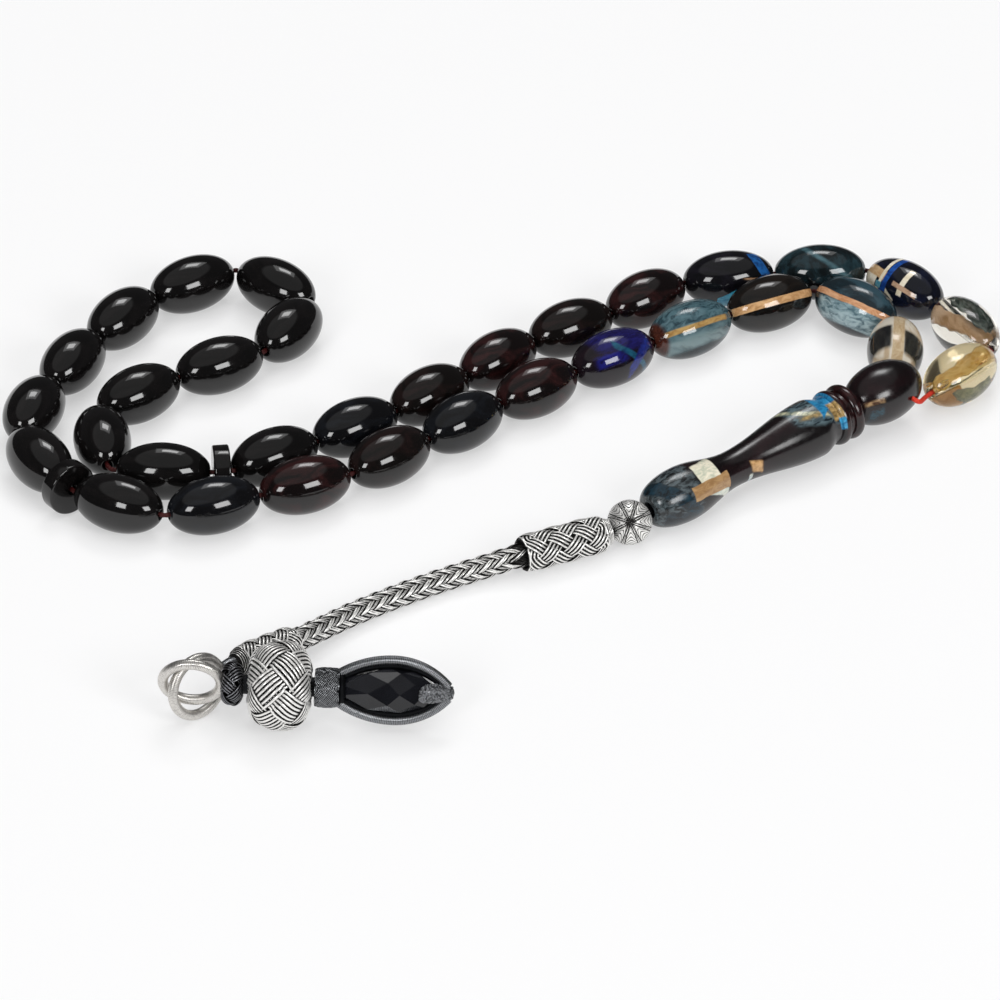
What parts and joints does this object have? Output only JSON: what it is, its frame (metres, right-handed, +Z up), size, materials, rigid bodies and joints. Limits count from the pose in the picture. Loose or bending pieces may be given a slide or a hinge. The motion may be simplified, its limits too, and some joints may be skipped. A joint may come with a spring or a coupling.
{
  "type": "misbaha prayer beads",
  "caption": "Closed strand of olive-shaped marbled resin prayer beads with separator discs, a turned leader and a woven silver wire tassel ending in a faceted stone drop",
  "frame": {"origin": "middle of the footprint of the strand as it lies on a table, at table height", "axes": "+X runs to the right along the strand as it lies, +Y away from the tassel towards the far beads, +Z up"},
  "size_m": [0.1574, 0.1314, 0.0138],
  "materials": {
    "clear_resin": "gloss, clear with honey and green inclusions",
    "patterned_resin": "gloss, marbled blue, teal, tan and cream on black",
    "dark_resin": "high gloss near-black brown",
    "red_string": "waxed twisted thread",
    "leader_resin": "high gloss, dark red-black with teal, cream and tan patches",
    "silver": "oxidised woven silver wire, bright on the ridges",
    "dark_silver": "dark oxidised silver, wire-wrapped and granulated",
    "black_stone": "polished facets"
  },
  "bodies": {
    "strand": {"bead_string": "red_string", "leader": "leader_resin", "tassel_wire": "silver", "upper_sleeve": "silver", "silver_rope": "silver", "lower_sleeve": "silver", "rope_loop": "silver"},
    "drop": {"pendant_loop": "silver", "small_knot": "silver", "big_knot": "silver", "pendant_core": "dark_silver", "neck_band": "dark_silver", "stone_frame": "dark_silver", "tip_cap": "dark_silver", "stone": "black_stone"},
    "ball": {"silver_ball": "silver"},
    "bead_01_body": {"bead_01": "clear_resin"},
    "bead_02_body": {"bead_02": "clear_resin"},
    "bead_03_body": {"bead_03": "patterned_resin"},
    "bead_04_body": {"bead_04": "patterned_resin"},
    "bead_05_body": {"bead_05": "patterned_resin"},
    "bead_06_body": {"bead_06": "dark_resin"},
    "bead_07_body": {"bead_07": "dark_resin"},
    "bead_08_body": {"bead_08": "dark_resin"},
    "bead_09_body": {"bead_09": "dark_resin"},
    "bead_10_body": {"bead_10": "dark_resin"},
    "bead_11_body": {"bead_11": "dark_resin"},
    "disc_1_body": {"disc_1": "dark_resin"},
    "bead_12_body": {"bead_12": "dark_resin"},
    "bead_13_body": {"bead_13": "dark_resin"},
    "bead_14_body": {"bead_14": "dark_resin"},
    "bead_15_body": {"bead_15": "dark_resin"},
    "bead_16_body": {"bead_16": "dark_resin"},
    "bead_17_body": {"bead_17": "dark_resin"},
    "bead_18_body": {"bead_18": "dark_resin"},
    "bead_19_body": {"bead_19": "dark_resin"},
    "bead_20_body": {"bead_20": "dark_resin"},
    "bead_21_body": {"bead_21": "dark_resin"},
    "bead_22_body": {"bead_22": "dark_resin"},
    "disc_2_body": {"disc_2": "dark_resin"},
    "bead_23_body": {"bead_23": "dark_resin"},
    "bead_24_body": {"bead_24": "dark_resin"},
    "bead_25_body": {"bead_25": "dark_resin"},
    "bead_26_body": {"bead_26": "dark_resin"},
    "bead_27_body": {"bead_27": "dark_resin"},
    "bead_28_body": {"bead_28": "dark_resin"},
    "bead_29_body": {"bead_29": "patterned_resin"},
    "bead_30_body": {"bead_30": "patterned_resin"},
    "bead_31_body": {"bead_31": "patterned_resin"},
    "bead_32_body": {"bead_32": "patterned_resin"},
    "bead_33_body": {"bead_33": "patterned_resin"}
  },
  "joints": [
    {"name": "drop_swing", "type": "hinge", "parent": "strand", "child": "drop", "pos_m": [-0.04617, -0.05774, 0.004], "axis": [0, 0, 1], "range_deg": [-95, 0]},
    {"name": "ball_spin", "type": "hinge", "parent": "strand", "child": "ball", "pos_m": [0.01913, -0.01004, 0.0035], "axis": [-0.8097, -0.5757, -0.1139], "continuous": true},
    {"name": "bead_01_spin", "type": "hinge", "parent": "strand", "child": "bead_01_body", "pos_m": [0.07186, 0.0305, 0.0045], "axis": [0.6691, 0.7432, 0], "continuous": true},
    {"name": "bead_02_spin", "type": "hinge", "parent": "strand", "child": "bead_02_body", "pos_m": [0.07336, 0.04409, 0.0045], "axis": [-0.4948, 0.869, 0], "continuous": true},
    {"name": "bead_03_spin", "type": "hinge", "parent": "strand", "child": "bead_03_body", "pos_m": [0.06428, 0.05608, 0.0045], "axis": [-0.7025, 0.7116, 0], "continuous": true},
    {"name": "bead_04_spin", "type": "hinge", "parent": "strand", "child": "bead_04_body", "pos_m": [0.05081, 0.06122, 0.0045], "axis": [-0.9979, -0.0652, 0], "continuous": true},
    {"name": "bead_05_spin", "type": "hinge", "parent": "strand", "child": "bead_05_body", "pos_m": [0.03601, 0.05934, 0.0045], "axis": [-0.9824, -0.1868, 0], "continuous": true},
    {"name": "bead_06_spin", "type": "hinge", "parent": "strand", "child": "bead_06_body", "pos_m": [0.02253, 0.0531, 0.0045], "axis": [-0.7778, -0.6285, 0], "continuous": true},
    {"name": "bead_07_spin", "type": "hinge", "parent": "strand", "child": "bead_07_body", "pos_m": [0.01047, 0.04436, 0.0045], "axis": [-0.8396, -0.5431, 0], "continuous": true},
    {"name": "bead_08_spin", "type": "hinge", "parent": "strand", "child": "bead_08_body", "pos_m": [-0.00113, 0.03499, 0.0045], "axis": [-0.7074, -0.7068, 0], "continuous": true},
    {"name": "bead_09_spin", "type": "hinge", "parent": "strand", "child": "bead_09_body", "pos_m": [-0.01185, 0.02464, 0.0045], "axis": [-0.7318, -0.6815, 0], "continuous": true},
    {"name": "bead_10_spin", "type": "hinge", "parent": "strand", "child": "bead_10_body", "pos_m": [-0.02343, 0.01529, 0.0045], "axis": [-0.8201, -0.5723, 0], "continuous": true},
    {"name": "bead_11_spin", "type": "hinge", "parent": "strand", "child": "bead_11_body", "pos_m": [-0.03581, 0.00697, 0.0045], "axis": [-0.8396, -0.5431, 0], "continuous": true},
    {"name": "disc_1_spin", "type": "hinge", "parent": "strand", "child": "disc_1_body", "pos_m": [-0.04388, 0.00263, 0.0045], "axis": [-0.9929, -0.1192, 0], "continuous": true},
    {"name": "bead_12_spin", "type": "hinge", "parent": "strand", "child": "bead_12_body", "pos_m": [-0.05293, 0.00275, 0.0045], "axis": [-0.9992, 0.0397, 0], "continuous": true},
    {"name": "bead_13_spin", "type": "hinge", "parent": "strand", "child": "bead_13_body", "pos_m": [-0.06276, 0.0116, 0.0045], "axis": [-0.1519, 0.9884, 0], "continuous": true},
    {"name": "bead_14_spin", "type": "hinge", "parent": "strand", "child": "bead_14_body", "pos_m": [-0.05763, 0.02482, 0.0045], "axis": [0.7765, 0.6301, 0], "continuous": true},
    {"name": "bead_15_spin", "type": "hinge", "parent": "strand", "child": "bead_15_body", "pos_m": [-0.04516, 0.03325, 0.0045], "axis": [0.8736, 0.4867, 0], "continuous": true},
    {"name": "bead_16_spin", "type": "hinge", "parent": "strand", "child": "bead_16_body", "pos_m": [-0.03446, 0.04378, 0.0045], "axis": [0.501, 0.8654, 0], "continuous": true},
    {"name": "bead_17_spin", "type": "hinge", "parent": "strand", "child": "bead_17_body", "pos_m": [-0.03677, 0.05679, 0.0045], "axis": [-0.7734, 0.6339, 0], "continuous": true},
    {"name": "bead_18_spin", "type": "hinge", "parent": "strand", "child": "bead_18_body", "pos_m": [-0.05023, 0.05759, 0.0045], "axis": [-0.8396, -0.5432, 0], "continuous": true},
    {"name": "bead_19_spin", "type": "hinge", "parent": "strand", "child": "bead_19_body", "pos_m": [-0.06097, 0.04723, 0.0045], "axis": [-0.573, -0.8196, 0], "continuous": true},
    {"name": "bead_20_spin", "type": "hinge", "parent": "strand", "child": "bead_20_body", "pos_m": [-0.06841, 0.03431, 0.0045], "axis": [-0.4209, -0.9071, 0], "continuous": true},
    {"name": "bead_21_spin", "type": "hinge", "parent": "strand", "child": "bead_21_body", "pos_m": [-0.07384, 0.02043, 0.0045], "axis": [-0.3065, -0.9519, 0], "continuous": true},
    {"name": "bead_22_spin", "type": "hinge", "parent": "strand", "child": "bead_22_body", "pos_m": [-0.07225, 0.00611, 0.0045], "axis": [0.5053, -0.8629, 0], "continuous": true},
    {"name": "disc_2_spin", "type": "hinge", "parent": "strand", "child": "disc_2_body", "pos_m": [-0.0675, -0.00156, 0.0045], "axis": [0.6254, -0.7803, 0], "continuous": true},
    {"name": "bead_23_spin", "type": "hinge", "parent": "strand", "child": "bead_23_body", "pos_m": [-0.05946, -0.00626, 0.0045], "axis": [0.9015, -0.4328, 0], "continuous": true},
    {"name": "bead_24_spin", "type": "hinge", "parent": "strand", "child": "bead_24_body", "pos_m": [-0.04485, -0.00681, 0.0045], "axis": [0.9325, 0.3611, 0], "continuous": true},
    {"name": "bead_25_spin", "type": "hinge", "parent": "strand", "child": "bead_25_body", "pos_m": [-0.0309, -0.00113, 0.0045], "axis": [0.9194, 0.3933, 0], "continuous": true},
    {"name": "bead_26_spin", "type": "hinge", "parent": "strand", "child": "bead_26_body", "pos_m": [-0.01801, 0.00681, 0.0045], "axis": [0.7654, 0.6435, 0], "continuous": true},
    {"name": "bead_27_spin", "type": "hinge", "parent": "strand", "child": "bead_27_body", "pos_m": [-0.00663, 0.01672, 0.0045], "axis": [0.7426, 0.6697, 0], "continuous": true},
    {"name": "bead_28_spin", "type": "hinge", "parent": "strand", "child": "bead_28_body", "pos_m": [0.00493, 0.02643, 0.0045], "axis": [0.7873, 0.6166, 0], "continuous": true},
    {"name": "bead_29_spin", "type": "hinge", "parent": "strand", "child": "bead_29_body", "pos_m": [0.01705, 0.03542, 0.0045], "axis": [0.8183, 0.5748, 0], "continuous": true},
    {"name": "bead_30_spin", "type": "hinge", "parent": "strand", "child": "bead_30_body", "pos_m": [0.02948, 0.044, 0.0045], "axis": [0.8281, 0.5606, 0], "continuous": true},
    {"name": "bead_31_spin", "type": "hinge", "parent": "strand", "child": "bead_31_body", "pos_m": [0.04236, 0.05178, 0.0045], "axis": [0.8819, 0.4714, 0], "continuous": true},
    {"name": "bead_32_spin", "type": "hinge", "parent": "strand", "child": "bead_32_body", "pos_m": [0.05617, 0.05054, 0.0045], "axis": [0.781, -0.6245, 0], "continuous": true},
    {"name": "bead_33_spin", "type": "hinge", "parent": "strand", "child": "bead_33_body", "pos_m": [0.06192, 0.03758, 0.0045], "axis": [-0.0658, -0.9978, 0], "continuous": true}
  ]
}
